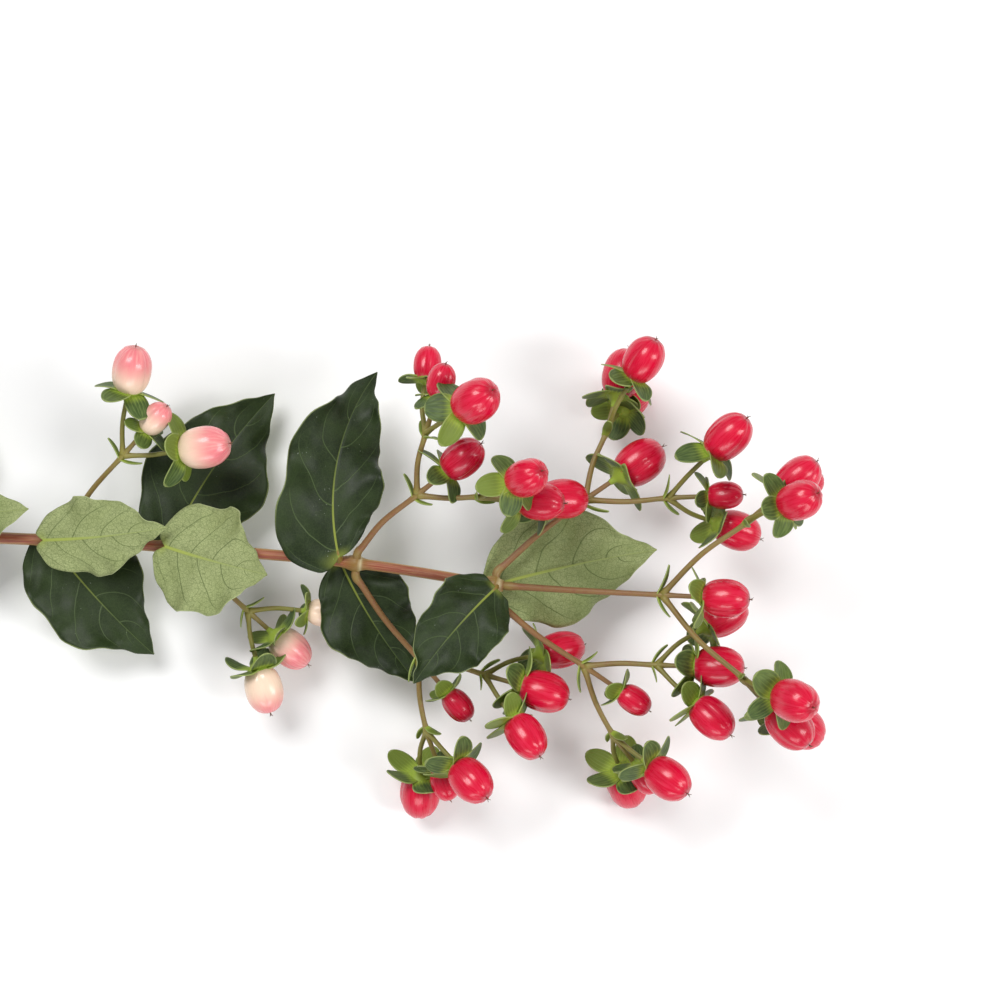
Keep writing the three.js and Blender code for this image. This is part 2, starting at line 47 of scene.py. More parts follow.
DECIMETRE = 100  # the unit of the lengths in the UV maps of leaves and bark
UP = Vector((0, 0, 1))

# -------- the part's dimensions, millimetres

STEM_RADIUS = 1.6  # at the cut end
STEM_TOP_RADIUS = 1.1  # at the upper fork
NODE_RADIUS = 2.1
STEM_ROUTE = [(0, 1, 0.85), (36, 3, 3.1), (78, 4.6, 5.8), (122, 5.2, 8.6), (165, 4.8, 11.6),
              (206, 3.4, 14.8), (235, 1.8, 17.2), (279, -2, 21), (313, -7.2, 24)]
SCARS = [36, 78]  # nodes whose leaves are gone
LEAF_NODES = [122, 165, 206, 235]
LOWER_FORK = 279
UPPER_FORK = 313
UPPER_SWELLING = UPPER_FORK - 1.4
MIDDLE = np.array((194.15, -6.24, -0.78))
GAP = 0.35  # that the solids keep from each other

LEAF_SEAT = 1.2  # how far below its node a leaf starts
LEAF_SOLID = 0.7  # thickness of the part's blades, which sets where their middle lies
LEAF_FLOOR = 1.1  # height that blades don't go below
FLOOR_SOFTNESS = 1.5  # how gently they level out there
OUTLINE_BASE = 0.4
OUTLINE_GROWTH = 2.6
OUTLINE_TAPER = 1.08
OUTLINE_WIDEST = 0.826
TIP_ONSET = 0.5
TIP_NARROWING = 0.36
MIDRIB_STEPS = 24
ROLL_END = 0.5  # share of the length by which a blade has its full roll
FOLD_CURVE = 1.2
FOLD_END = 0.3  # share of the length by which its halves are folded up fully
MARGIN_SCALLOP = 0.07
MARGIN_LAG = 1.9  # radians between the two margins' waves
CALM_BASE = 0.25  # shares of the length in which the margins' waves grow and die down
CALM_TIP = 0.2
LOBE_FADE = 4
HEEL_DROP = 5  # how far a full heel reaches back past the lobe

# side: 1 above the stem and -1 below it. across: sideways shift of the base.
# heading, pitch: of the midrib at its base, in degrees. sweep, droop: how far they turn and sink to the tip.
# roll: about the midrib. fold: of the two halves, below 0 in a leaf that shows its pale underside above.
# wave, waves, phase: height, number and start of the margins' waves. lobe: how far the base reaches back.
# heel, in one row: how much wider the left half is at the base, as a share.
LEAF_FIELDS = ("name", "node", "side", "across", "heading", "pitch", "sweep", "droop", "roll",
               "length", "width", "fold", "wave", "waves", "phase", "lobe", "heel")
LEAVES = [dict(zip(LEAF_FIELDS, row)) for row in (
    ("1_left", 122, 1, 1, 80, 6, -44, 28, 6, 46, 27, 10, 2.4, 2.4, 0.4, -1.5),
    ("1_right", 122, 1, -1, -76, 4, 40, 26, -8, 43, 25, 8, 2.2, 2.1, 2.2, -1.5),
    ("2_top", 165, 1, 0, 14, 22, -10, 20, 8, 40, 25, -9, 1.8, 2.3, 1.2, 2.2),
    ("2_under", 165, -1, 0, 52, -6, 18, -4, 5, 44, 26, 8, 2.2, 2.6, 3.1, 2.2),
    ("3_top", 206, 1, 0, 2, 25, 8, 28, 14, 31, 19, -10, 1.3, 2.2, 0.2, 2),
    ("3_under", 206, -1, 0, -54, -6, 12, 2, -6, 38, 26, 9, 2.2, 2.2, 4.4, 2.2),
    ("4_top", 235, 1, 0, -18, 20, 6, 20, -8, 26, 27, -8, 1.6, 2.4, 2.6, 2.4),
    ("4_under", 235, -1, 0, 66, -14, -20, -6, 6, 46, 28, 8, 2.3, 2.5, 5.2, 1.4),
    ("5_left", 276, 1, 1, 103, 2, -50, 32, 12, 49, 22, 8, 3.2, 2.5, 1.8, -2, 0.9),
    ("5_right", 276, -1, 0, -66, -6, 16, 4, -4, 35, 22, 8, 2.6, 2.2, 0.6, -1.5),
    ("6_top", UPPER_FORK, 1, -0.6, -138, 28, 14, 28, -12, 31, 20, 14, 2.0, 2.0, 2.9, 0),
    ("6_under", UPPER_FORK, -1, 0, 16, -10, -8, -6, 10, 40, 27, -8, 2.2, 2.4, 0.9, 2),
)]

BERRY_LENGTH = 12.3
BERRY_SIZES = (0.9, 1.04)
SMALL_SHARE = 0.07  # share of the berries that are stunted
SMALL_SIZE = 0.7
CALYX_SEAT = 0.6
SEPALS = 5
SEPAL_LENGTH = 7.2
SEPAL_WIDTH = 6
SEPAL_ROOT = (0.5, 2.2)  # along the berry's axis, and out from it
SEPAL_DROP = 0.12
SEPAL_SPREAD = (84, 122)  # degrees from the berry's axis
BRACT_LENGTH = 5.6
BRACT_WIDTH = 2.4
STALK_RADII = (0.6, 0.7, 0.85)  # by the number of forks still ahead
BRACT_ANGLE = 63
BRACT_SETBACK = 1.4
FORK_ANGLE = 45
FORK_SPREAD = 0.3
FIRST_BEND = 0.9
LATER_BEND = 0.3
LAST_SWERVE = 9
FORK_SHORTENING = 0.66
FORK_TWIST = (10, 50)
PEDICEL_LENGTH = 8.5
LAST_STALK_LENGTH = 13
# what the draws multiply these by
FORK_ANGLE_DRAW = (0.88, 1.12)
SHORTENING_DRAW = (0.9, 1.1)
PEDICEL_DRAW = (0.9, 1.15)
LAST_STALK_DRAW = (0.85, 1.15)
STEM_END_CLEARANCE = 1.05
STALK_END_ROOM = 0.6
STALK_FOOT_ROOM = 0.3

# heading, pitch: of the first stalk, in degrees. towards: heading and pitch that it bends to.
# plane: turn of its first fork. length: to that fork. forks: in a row. bract: size of the first pair.
SPRAY_FIELDS = ("name", "node", "heading", "pitch", "towards", "plane", "length", "forks", "bract", "seed")
SPRAYS = [dict(zip(SPRAY_FIELDS, row)) for row in (
    ("spray_1", LOWER_FORK, 50, 34, (26, 12), 0, 23, 2, 1, 14),
    ("spray_2", LOWER_FORK, -56, -4, (-42, 3), 8, 25, 2, 1, 42),
    ("spray_3", UPPER_SWELLING, 42, -1, (30, -3), -20, 27, 2, 1.1, 5),
    ("spray_4", UPPER_SWELLING, -40, 0, (-26, -3), 20, 27, 2, 1.1, 42),
    ("spray_5", UPPER_FORK, -3, 22, (-2, 14), 0, 38, 2, 1.2, 49),
    ("side_shoot_1", 238, -40, -8, (-46, -8), 0, 20, 1, 1, 14),
    ("side_shoot_2", 209, 56, 6, (34, 30), 0, 24, 1, 1, 54),
)]
AT_TIP = "spray_5"  # it carries the stem on
LEAF_SEED = 7

# -------- vectors, draws and curves


def towards(heading, pitch):
    """The direction with these angles in degrees: from x round the upright, and up from level."""
    h, p = math.radians(heading), math.radians(pitch)
    return Vector((math.cos(h) * math.cos(p), math.sin(h) * math.cos(p), math.sin(p)))


def square_to(axis, wanted):
    """The direction square to the axis that lies closest to the wanted one."""
    return (wanted - axis * wanted.dot(axis)).normalized()


def turned(vector, axis, degrees):
    return Quaternion(axis, math.radians(degrees)) @ vector


def smooth(t):
    """A smooth step, from 0 at 0 to 1 at 1."""
    x = np.clip(t, 0, 1)
    return x * x * (3 - 2 * x)


def draws_from(seed):
    """A function that draws numbers, the same ones for the same seed."""
    state = [(seed * 2654435761) & 0xFFFFFFFF]

    def draw(low, high):
        state[0] = (state[0] * 1664525 + 1013904223) & 0xFFFFFFFF
        return low + (high - low) * state[0] / 4294967296

    draw(0, 1)
    return draw


def through(points, per_span):
    """A smooth line through the points: a centripetal Catmull-Rom curve, sampled evenly in each span."""
    p = [np.array(q, float) for q in points]
    p = [2 * p[0] - p[1], *p, 2 * p[-1] - p[-2]]
    line = [p[1]]
    for a, b, c, d in zip(p, p[1:], p[2:], p[3:]):
        ta, tb, tc = (np.sum((v - u) ** 2) ** 0.25 for u, v in ((a, b), (b, c), (c, d)))
        leave = tb * ((b - a) / ta - (c - a) / (ta + tb) + (c - b) / tb)
        arrive = tb * ((c - b) / tb - (d - b) / (tb + tc) + (d - c) / tc)
        for i in range(1, per_span + 1):
            t = i / per_span
            line.append(b + leave * t + (3 * (c - b) - 2 * leave - arrive) * t ** 2
                        + (2 * (b - c) + leave + arrive) * t ** 3)
    return np.array(line)


stem_line = through(STEM_ROUTE, 60)
stem_way = np.gradient(stem_line, axis=0)
stem_way /= np.linalg.norm(stem_way, axis=1)[:, None]


def stem_at(x):
    """The stem's centre and direction at a distance x from the cut end."""
    centre = [np.interp(x, stem_line[:, 0], stem_line[:, k]) for k in range(3)]
    along = [np.interp(x, stem_line[:, 0], stem_way[:, k]) for k in range(3)]
    return Vector(centre), Vector(along).normalized()


def stem_radius(x):
    return STEM_RADIUS + (STEM_TOP_RADIUS - STEM_RADIUS) * x / UPPER_FORK


# -------- meshes


def add_object(name, data):
    thing = bpy.data.objects.new(name, data)
    bpy.context.scene.collection.objects.link(thing)
    return thing


class Piece:
    """Gathers the parts of one mesh. Its points carry pairs of numbers that the material reads as UV maps."""

    def __init__(self, layers):
        self.layers = {name: [] for name in layers}
        self.points = []
        self.faces = []
        self.slots = []
        self.count = 0

    def add(self, points, faces, slots=0, **layers):
        """Slots: the material slot of all the faces, or a list with each face's own."""
        points = np.asarray(points, float).reshape(-1, 3)
        self.points.append(points)
        self.faces += [tuple(i + self.count for i in face) for face in faces]
        self.slots += np.broadcast_to(slots, len(faces)).tolist()
        for name, values in self.layers.items():
            values.append(np.broadcast_to(np.asarray(layers[name], float), (len(points), 2)))
        self.count += len(points)

    def finish(self, name, materials, slot, *nodes):
        mesh = bpy.data.meshes.new(name)
        points = (np.concatenate(self.points) - MIDDLE) * MM
        mesh.from_pydata(points.tolist(), [], self.faces)
        for material in materials:
            mesh.materials.append(material)
        mesh.polygons.foreach_set("material_index", self.slots)
        mesh.polygons.foreach_set("use_smooth", [True] * len(self.faces))
        corners = np.empty(len(mesh.loops), int)
        mesh.loops.foreach_get("vertex_index", corners)
        for layer, values in self.layers.items():
            uv = mesh.uv_layers.new(name=layer)
            uv.data.foreach_set("uv", np.concatenate(values)[corners].ravel())
        mesh.validate()
        mesh.update()
        piece = add_object(name, mesh)
        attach(piece, "root")
        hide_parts(*nodes)


def grid_faces(rows, columns, offset=0, closed=False, flipped=False):
    """Quads between rows of points; a closed grid joins its last column to its first."""
    faces = []
    for row in range(rows - 1):
        for column in range(columns if closed else columns - 1):
            a = offset + row * columns + column
            b = offset + row * columns + (column + 1) % columns
            face = (a, b, b + columns, a + columns)
            faces.append(face[::-1] if flipped else face)
    return faces


def tube_faces(rows, sides):
    """Faces of a tube whose points lie in rings, with its two flat ends."""
    last = (rows - 1) * sides
    ends = [tuple(range(sides))[::-1], tuple(range(last, last + sides))]
    return grid_faces(rows, sides, closed=True) + ends


def slab_faces(rows, columns):
    """Faces of a thin blade whose points are two like grids: those above, those below, and the rim."""
    count = rows * columns
    edge = [(0, c) for c in range(columns)] + [(r, columns - 1) for r in range(1, rows)]
    edge += [(rows - 1, c) for c in range(columns - 2, -1, -1)] + [(r, 0) for r in range(rows - 2, 0, -1)]
    edge = [row * columns + column for row, column in edge]
    rim = [(a, b, b + count, a + count) for a, b in zip(edge, edge[1:] + edge[:1])]
    return grid_faces(rows, columns, flipped=True), grid_faces(rows, columns, offset=count), rim


def frames_along(line):
    """Two vectors square to a line at each of its points, which turn as little as possible along it."""
    way = np.gradient(line, axis=0)
    way /= np.linalg.norm(way, axis=1)[:, None]
    first = np.cross(way[0], (0, 0, 1) if abs(way[0][2]) < 0.9 else (1, 0, 0))
    sides = [first / np.linalg.norm(first)]
    for direction in way[1:]:
        side = sides[-1] - direction * np.dot(sides[-1], direction)
        sides.append(side / np.linalg.norm(side))
    sides = np.array(sides)
    return sides, np.cross(way, sides)


def distance_along(line):
    steps = np.linalg.norm(np.diff(line, axis=0), axis=1)
    return np.concatenate([[0], np.cumsum(steps)])


def tube(line, radii, sides):
    """A round tube with closed ends: its points, faces, distance along, and angle round it, by point."""
    line = np.asarray(line, float)
    across, over = frames_along(line)
    angle = np.linspace(0, 2 * np.pi, sides, endpoint=False)
    radii = np.asarray(radii, float)
    radii = np.broadcast_to(radii if radii.ndim == 2 else radii[:, None], (len(line), sides))
    ring = across[:, None] * np.cos(angle)[:, None] + over[:, None] * np.sin(angle)[:, None]
    points = (line[:, None] + ring * radii[:, :, None]).reshape(-1, 3)
    faces = tube_faces(len(line), sides)
    return points, faces, np.repeat(distance_along(line), sides), np.tile(angle, len(line))


# -------- materials


def srgb(red, green, blue):
    """A colour as a screen shows it, from 0 to 255, in Blender's linear numbers."""
    linear = [c / 12.92 if c <= 0.04045 else ((c + 0.055) / 1.055) ** 2.4
              for c in (red / 255, green / 255, blue / 255)]
    return (*linear, 1)


class Shader:
    """A material built node by node; inputs may be numbers, colours or the outputs of other nodes."""

    def __init__(self, name, **settings):
        self.material = bpy.data.materials.new(name)
        self.material.use_nodes = True
        self.tree = self.material.node_tree
        self.surface = self.tree.nodes["Principled BSDF"]
        for socket, value in settings.items():
            self.surface.inputs[socket.replace("_", " ")].default_value = value

    def node(self, kind, inputs=(), output=0, **settings):
        node = self.tree.nodes.new(kind)
        for key, value in settings.items():
            setattr(node, key, value)
        for socket, value in dict(inputs).items():
            self.put(node.inputs[socket], value)
        return node.outputs[output]

    def put(self, socket, value):
        if isinstance(value, bpy.types.NodeSocket):
            self.tree.links.new(value, socket)
        else:
            socket.default_value = value

    def math(self, operation, a, b=0.0, clamp=False):
        return self.node("ShaderNodeMath", {0: a, 1: b}, operation=operation, use_clamp=clamp)

    def plus(self, a, b, clamp=False):
        return self.math("ADD", a, b, clamp)

    def minus(self, a, b):
        return self.math("SUBTRACT", a, b)

    def times(self, a, b, clamp=False):
        return self.math("MULTIPLY", a, b, clamp)

    def mix(self, amount, a, b):
        """Colour a with an amount of colour b. The node's sockets are numbered, as their names repeat."""
        return self.node("ShaderNodeMix", {0: amount, 6: a, 7: b}, output=2, data_type="RGBA")

    def band(self, value, low, high, first=0.0, last=1.0):
        """A smooth step of the value, from first at low to last at high."""
        return self.node("ShaderNodeMapRange", {0: value, 1: low, 2: high, 3: first, 4: last},
                         interpolation_type="SMOOTHSTEP")

    def pair(self, layer):
        """The two numbers that the points carry under this name."""
        uv = self.node("ShaderNodeUVMap", uv_map=layer)
        split = self.node("ShaderNodeSeparateXYZ", {0: uv})
        return split, split.node.outputs[1]

    def place(self, x, y, z=0.0):
        return self.node("ShaderNodeCombineXYZ", {0: x, 1: y, 2: z})

    def noise(self, vector, scale, detail=2.0, roughness=0.5):
        inputs = {"Vector": vector, "Scale": scale, "Detail": detail, "Roughness": roughness}
        return self.node("ShaderNodeTexNoise", inputs)

    def net(self, vector, scale):
        """Distance from the lines of a cell net."""
        inputs = {"Vector": vector, "Scale": scale}
        return self.node("ShaderNodeTexVoronoi", inputs, feature="DISTANCE_TO_EDGE")

    def bump(self, height, strength, distance):
        return self.node("ShaderNodeBump", {"Height": height, "Strength": strength, "Distance": distance})

    def done(self, color, roughness, normal):
        self.put(self.surface.inputs["Base Color"], color)
        self.put(self.surface.inputs["Roughness"], roughness)
        self.put(self.surface.inputs["Normal"], normal)
        return self.material


# side veins, which the blades' relief and their colours share
VEIN_ARCH = 1.5
VEIN_SWEEP = 0.34
VEIN_COUNT = 4.6
VEIN_STAGGER = 0.35  # share of the space between two by which those on the left lie nearer to the base


def leaf_shader(name, blade, blade_lit, vein, midrib, vein_pale, margin, net_strength, upper):
    """A face of a leaf, the upper or the under one.
    Map blade: share of the length, and -1 to 1 across. Map flat: decimetres along and across.
    Map tone: from dark to bright."""
    m = Shader(name, IOR=1.45, Specular_IOR_Level=0.32 if upper else 0.3)
    s, u = m.pair("blade")
    x, y = m.pair("flat")
    tone, _ = m.pair("tone")
    flat = m.place(x, y, tone)
    aside = m.math("ABSOLUTE", u)
    away = m.math("ABSOLUTE", y)

    # arching side veins, which leave the midrib and sweep towards the tip
    wander = m.times(m.minus(m.noise(flat, 9.0), 0.5), 0.09)
    swept = m.times(m.math("POWER", aside, VEIN_ARCH), VEIN_SWEEP)
    count = m.plus(m.times(m.minus(m.plus(s, wander), swept), VEIN_COUNT),
                   m.times(m.math("GREATER_THAN", u, 0.0), VEIN_STAGGER))
    off_vein = m.math("ABSOLUTE", m.minus(m.math("FRACT", m.plus(count, 10.0)), 0.5))
    side_vein = m.band(off_vein, 0.006, 0.026 if upper else 0.034, 1.0, 0.0)
    side_vein = m.times(side_vein, m.band(aside, 0.75, 0.97, 1.0, 0.0))
    side_vein = m.times(side_vein, m.band(s, 0.75, 0.95, 1.0, 0.0))

    # the fine net between them
    coarse = m.band(m.net(flat, 96.0), 0.012, 0.085, 1.0, 0.0)
    fine = m.band(m.net(flat, 230.0), 0.02, 0.15, 1.0, 0.0)
    net = m.plus(m.times(coarse, 0.5), m.times(fine, 0.55), clamp=True)

    # the blade's colours, with its veins, midrib, base and margin over them
    patches = m.noise(flat, 14.0, 3.0, 0.6)
    color = m.mix(m.band(patches, 0.32, 0.7), blade, blade_lit)
    color = m.mix(m.times(tone, 0.9), color, m.mix(0.6, color, blade_lit))
    color = m.mix(m.times(net, net_strength), color, vein)
    color = m.mix(m.times(side_vein, 0.75 if upper else 0.8), color, vein)
    rib_width = m.band(s, 0.0, 0.9, 0.0026 if upper else 0.0037, 0.0009)
    rib = m.band(m.math("DIVIDE", away, rib_width), 0.7, 1.25, 1.0, 0.0)
    rib_color = m.mix(m.band(s, 0.1, 0.7), midrib, vein_pale)
    color = m.mix(m.times(rib, m.band(s, 0.1, 0.9, 0.9, 0.45)), color, rib_color)
    base = m.times(m.band(s, 0.0, 0.055, 0.6, 0.0), m.band(aside, 0.1, 0.7, 1.0, 0.0))
    color = m.mix(base, color, midrib)
    edge = m.times(m.band(aside, 0.975, 0.993), m.band(s, 0.12, 0.3, 0.0, 0.75))
    color = m.mix(edge, color, margin)

    # dust above, and faint brown marks below
    if upper:
        specks = m.band(m.noise(flat, 260.0, 1.0), 0.74, 0.8)
        where = m.band(m.noise(flat, 20.0), 0.52, 0.7)
        color = m.mix(m.times(m.times(specks, where), 0.6), color, srgb(196, 204, 190))
    else:
        marks = m.times(m.band(m.noise(flat, 42.0, 3.0, 0.7), 0.68, 0.78),
                        m.band(m.noise(flat, 7.0), 0.55, 0.7))
        color = m.mix(m.times(marks, 0.5), color, srgb(132, 84, 62))

    relief = m.minus(m.times(net, -0.35), side_vein)
    relief = m.plus(relief, m.times(m.noise(flat, 60.0, 3.0, 0.6), 0.5))
    normal = m.bump(relief, 0.35 if upper else -0.35, 0.00012)
    rough = m.band(patches, 0.3, 0.75, 0.42 if upper else 0.6, 0.6 if upper else 0.75)
    return m.done(color, rough, normal)


def berry_shader(name, skin, lit, foot, flush, foot_reach, uneven, wrinkle):
    """Berry skin. Map round: cosine and sine of the angle round it. Map along: 0 calyx to 1 tip, and a tone.
    The foot's colour reaches up by foot_reach, and in berries of a high tone by uneven more."""
    m = Shader(name, IOR=1.4, Coat_Weight=0.3, Coat_Roughness=0.14)
    c, d = m.pair("round")
    t, tone = m.pair("along")
    lines = m.place(m.times(c, 3.2), m.times(d, 3.2), m.plus(m.times(t, 1.1), m.times(tone, 37.0)))
    streak = m.noise(lines, 2.1, 4.0, 0.62)
    clouds = m.noise(m.place(c, d, m.plus(m.times(t, 2.0), m.times(tone, 53.0))), 1.3)
    color = m.mix(m.band(streak, 0.4, 0.75, 0.0, 0.6), skin, lit)
    color = m.mix(m.band(clouds, 0.35, 0.75, 0.0, 0.45), color, flush)
    color = m.mix(m.times(tone, 0.5), color, skin)
    footing = m.plus(t, m.times(m.minus(streak, 0.5), 0.35))
    footing = m.minus(footing, m.times(tone, uneven))
    color = m.mix(m.band(footing, 0.0, foot_reach, 0.8, 0.0), color, foot)
    tip = m.times(m.band(t, 0.93, 0.985), m.band(streak, 0.35, 0.6, 0.4, 1.0))
    color = m.mix(m.times(tip, 0.55), color, wrinkle)
    speck = m.band(m.noise(m.place(c, d, m.times(t, 3.0)), 22.0, 1.0), 0.76, 0.8)
    color = m.mix(m.times(speck, 0.3), color, wrinkle)
    relief = m.plus(streak, m.times(clouds, 0.6))
    normal = m.bump(relief, 0.3, 0.00018)
    return m.done(color, m.band(streak, 0.3, 0.8, 0.24, 0.36), normal)


def sepal_shader():
    """Sepals and bracts. Map blade: share of the length, -1 to 1 across. Map tone: from dark to bright."""
    m = Shader("sepal", IOR=1.45, Specular_IOR_Level=0.35)
    s, u = m.pair("blade")
    tone, _ = m.pair("tone")
    aside = m.math("ABSOLUTE", u)
    # parallel veins that spread from the base
    ribs = m.math("ABSOLUTE", m.minus(m.math("FRACT", m.times(u, 3.5)), 0.5))
    ray = m.band(ribs, 0.04, 0.2, 1.0, 0.0)
    grain = m.noise(m.place(m.times(u, 1.6), s, m.times(tone, 9.0)), 3.0)
    # the grain mottles each sepal between its green and a lit copy of that green: painted light in patches
    color = m.mix(m.band(grain, 0.35, 0.7), srgb(58, 78, 34), srgb(84, 104, 50))
    color = m.mix(m.band(tone, 0.3, 0.85, 0.0, 0.75), color, srgb(114, 132, 42))
    color = m.mix(m.times(ray, 0.16), color, srgb(124, 142, 78))
    foot = m.plus(m.band(s, 0.12, 0.45, 0.85, 0.0), m.times(ray, m.band(s, 0.2, 0.65, 0.32, 0.0)), clamp=True)
    color = m.mix(foot, color, srgb(152, 174, 62))
    for place, start in ((aside, 0.88), (s, 0.92)):
        color = m.mix(m.band(place, start, 0.99, 0.0, 0.6), color, srgb(160, 172, 104))
    normal = m.bump(m.plus(m.band(ribs, 0.0, 0.2), grain), 0.35, 0.00012)
    return m.done(color, 0.5, normal)


def stalk_shader():
    """Map round: millimetres along, and angle. Map tone: age, 0 young to 1 old, and closeness to a joint."""
    m = Shader("stalk", IOR=1.45)
    x, around = m.pair("round")
    age, joint = m.pair("tone")
    c, d = m.math("COSINE", around), m.math("SINE", around)
    patches = m.noise(m.place(m.times(x, 0.5), c, d), 2.6, 3.0, 0.6)
    woody = m.plus(age, m.times(m.minus(patches, 0.5), 0.9))
    color = m.mix(m.band(woody, 0.05, 0.55), srgb(124, 124, 54), srgb(128, 98, 56))
    color = m.mix(m.band(woody, 0.5, 1.0), color, srgb(126, 72, 54))
    color = m.mix(m.times(joint, m.band(age, 0.35, 0.75, 0.75, 0.35)), color, srgb(138, 134, 60))
    fine = m.noise(m.place(m.times(x, 0.8), c, d), 7.0)
    color = m.mix(m.band(fine, 0.5, 0.75, 0.0, 0.4), color, srgb(162, 128, 88))
    return m.done(color, 0.45, m.bump(fine, 0.3, 0.0001))


def bark_shader():
    """Map round: decimetres along, and angle. Map tone: closeness to a node, and to the cut or a ring."""
    m = Shader("bark", IOR=1.45)
    x, around = m.pair("round")
    node, cut = m.pair("tone")
    c, d = m.math("COSINE", around), m.math("SINE", around)
    lines = m.noise(m.place(m.times(x, 1.6), c, d), 4.2, 4.0, 0.65)
    hair = m.noise(m.place(m.times(x, 3.0), m.times(c, 2.4), m.times(d, 2.4)), 7.0)
    patch = m.noise(m.place(m.times(x, 6.0), c, d), 1.2)
    color = m.mix(m.band(lines, 0.36, 0.64), srgb(132, 54, 42), srgb(154, 92, 60))
    color = m.mix(m.band(patch, 0.5, 0.72, 0.0, 0.5), color, srgb(112, 50, 38))
    color = m.mix(m.band(hair, 0.52, 0.7, 0.0, 0.7), color, srgb(168, 136, 88))
    # two pale raised lines, one down each side
    side = m.plus(m.math("ABSOLUTE", c), m.times(m.minus(lines, 0.5), 0.16))
    color = m.mix(m.band(side, 0.74, 0.95, 0.0, 0.8), color, srgb(168, 136, 86))
    color = m.mix(m.times(node, 0.75, clamp=True), color, srgb(124, 104, 42))
    color = m.mix(m.times(cut, 0.9), color, srgb(214, 206, 168))
    return m.done(color, 0.42, m.bump(m.plus(lines, hair), 0.35, 0.00016))


def plain_shader(name, dark, light, scale, roughness):
    """A mottled colour, by place on the piece."""
    m = Shader(name)
    where = m.node("ShaderNodeTexCoord", output="Object")
    grain = m.noise(where, scale, 3.0, 0.6)
    return m.done(m.mix(grain, dark, light), roughness, m.bump(grain, 0.2, 0.0002))


LEAF_UPPER = leaf_shader("leaf_upper", blade=srgb(15, 27, 6), blade_lit=srgb(38, 53, 21),
                         vein=srgb(72, 88, 50), midrib=srgb(132, 142, 56), vein_pale=srgb(86, 102, 54),
                         margin=srgb(138, 150, 98), net_strength=0.2, upper=True)
LEAF_UNDER = leaf_shader("leaf_under", blade=srgb(130, 141, 88), blade_lit=srgb(152, 161, 111),
                         vein=srgb(78, 92, 48), midrib=srgb(150, 162, 74), vein_pale=srgb(140, 152, 88),
                         margin=srgb(172, 182, 134), net_strength=0.64, upper=False)
BERRY_SKIN = berry_shader("berry_skin", skin=srgb(198, 1, 46), lit=srgb(229, 48, 86),
                          foot=srgb(232, 122, 140), flush=srgb(214, 10, 54), foot_reach=0.14, uneven=0.0,
                          wrinkle=srgb(110, 24, 26))
UNRIPE_SKIN = berry_shader("unripe_skin", skin=srgb(226, 128, 132), lit=srgb(238, 186, 172),
                           foot=srgb(238, 222, 194), flush=srgb(214, 84, 106), foot_reach=0.6, uneven=0.5,
                           wrinkle=srgb(150, 84, 60))
SEPAL_LOOK = sepal_shader()
STALK_LOOK = stalk_shader()
BARK_LOOK = bark_shader()
STYLE_LOOK = plain_shader("style", srgb(70, 40, 26), srgb(120, 78, 48), 900.0, 0.6)

# -------- large leaves

BLADE_ROWS = 72
BLADE_COLUMNS = 34  # even, so that the midrib has a row of points of its own
ROW_CROWDING = 0.35  # how much closer the rows lie at the base and the tip
COLUMN_CROWDING = 1.45  # above 1, so that the columns lie closer at the midrib
STEP = 0.004  # for the slopes of the surface, as a share of its length and half width
LAST_SLOPE = 0.97  # share of the length past which the slope is no longer measured

BLADE_THICKNESS = 0.36
EDGE_THINNING = 0.6  # share of the thickness that the margin lacks
EDGE_WIDTH = 0.1  # share of the half width over which it thins
RIB_SUNK = 0.22  # depth of the midrib's groove above
RIB_RAISED = 0.6  # height of its ridge below, at the base
RIB_HALF = 0.55
RIB_TAPER = 0.75  # share of its width that the midrib loses on its way to the tip
RIB_FADE = 1.3  # above 1, so that its ridge lowers faster than it narrows
QUILT = 0.16  # how far the blade swells between its side veins
QUILT_START = 4  # distance from the midrib at which it swells fully
QUILT_MARGIN = 0.3  # shares of the half width and of the length over which it fades
CORNER_END = 0.09  # share of the length over which the base's corners are rounded
CORNER_CUT = 0.12  # share of the width that they lack
HEART_CUT = 0.33  # what a heart-shaped base lacks on top of that
BASE_LOBE = 1.7  # extra roundness of a heart-shaped base
BASE_LOBE_END = 0.25
FINE_RIPPLE = 0.5  # height of fine ripples of the margins, which the solid lacks
FINE_WAVES = 5.7
FINE_LAG = 2.3
FINE_END = 0.15  # share of the length over which it fades at the base and the tip
TIP_START = 0.93  # shares of the length between which the tip is rounded off
TIP_END = 0.985


def ways(heading, pitch):
    """The directions of towards, for grids of angles."""
    h, p = np.radians(heading), np.radians(pitch)
    return np.stack([np.cos(h) * np.cos(p), np.sin(h) * np.cos(p), np.sin(p)], axis=-1)


def outline(s):
    """Half width of a blade, as a share of its widest."""
    oval = (OUTLINE_BASE + OUTLINE_GROWTH * s) * np.maximum(1 - s, 0) ** OUTLINE_TAPER / OUTLINE_WIDEST
    return oval * (1 - TIP_NARROWING * smooth((s - TIP_ONSET) / (1 - TIP_ONSET)))


